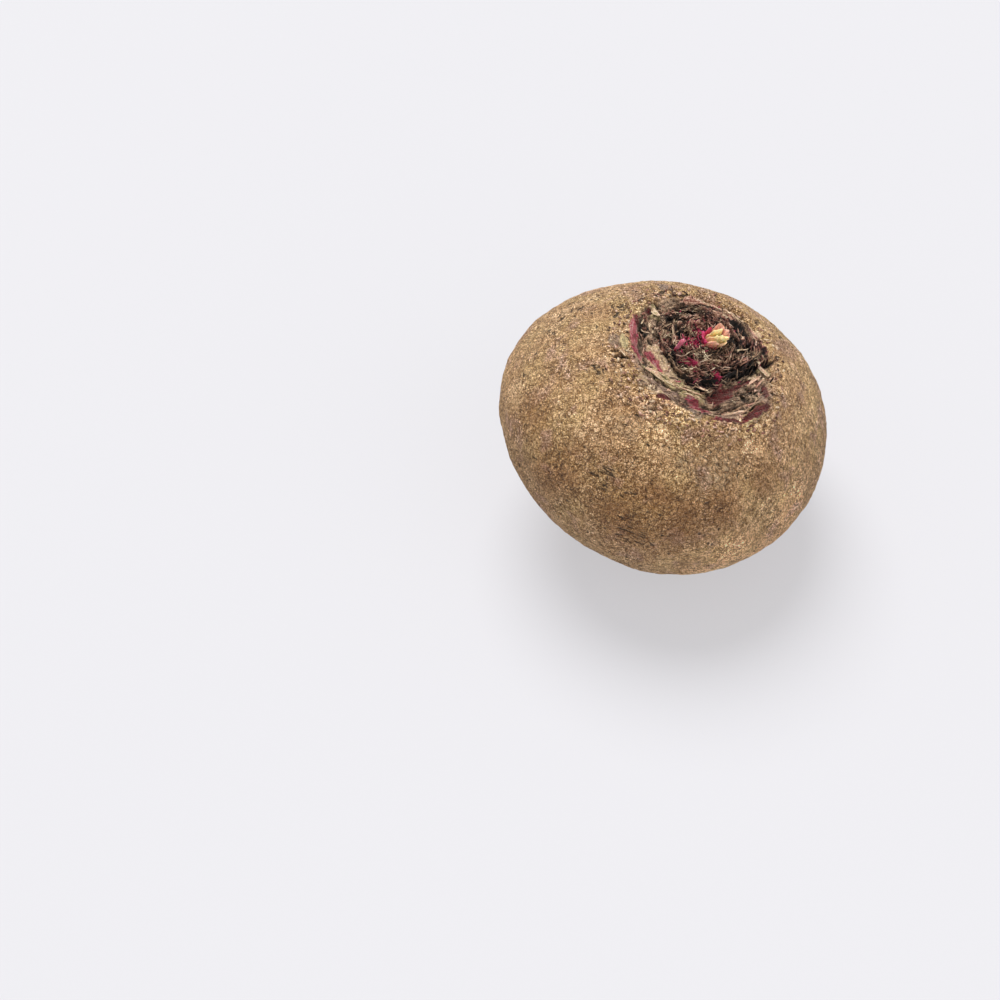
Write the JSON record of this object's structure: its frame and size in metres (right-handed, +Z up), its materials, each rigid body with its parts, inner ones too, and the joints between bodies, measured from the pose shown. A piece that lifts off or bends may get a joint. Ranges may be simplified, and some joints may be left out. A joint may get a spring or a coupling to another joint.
{
  "type": "beetroot",
  "caption": "Squat fresh beetroot with a corky tan skin, topped leaf stalks in a hollow crown, a young bud in the middle and a trimmed tail.",
  "frame": {"origin": "on the surface the beetroot lies on, under the middle of its bounding box", "axes": "+Z up; the crown leans towards +X, and -Y is the side it is usually seen from"},
  "size_m": [0.0892, 0.0888, 0.072],
  "materials": {
    "corky_skin": "matt, corky and dusty tan skin, mottled ochre and brown, with fine cracks",
    "withered_stalks": "dry, fibrous, dark brown to black, with dull crimson streaks",
    "young_leaf": "moist, pale yellow to pink, crimson on one side",
    "pink_stalk": "moist, bright pink"
  },
  "bodies": {
    "root": {"root": "corky_skin", "leaf_stubs": "withered_stalks", "bud": "young_leaf", "side_shoot": "pink_stalk"}
  },
  "joints": []
}
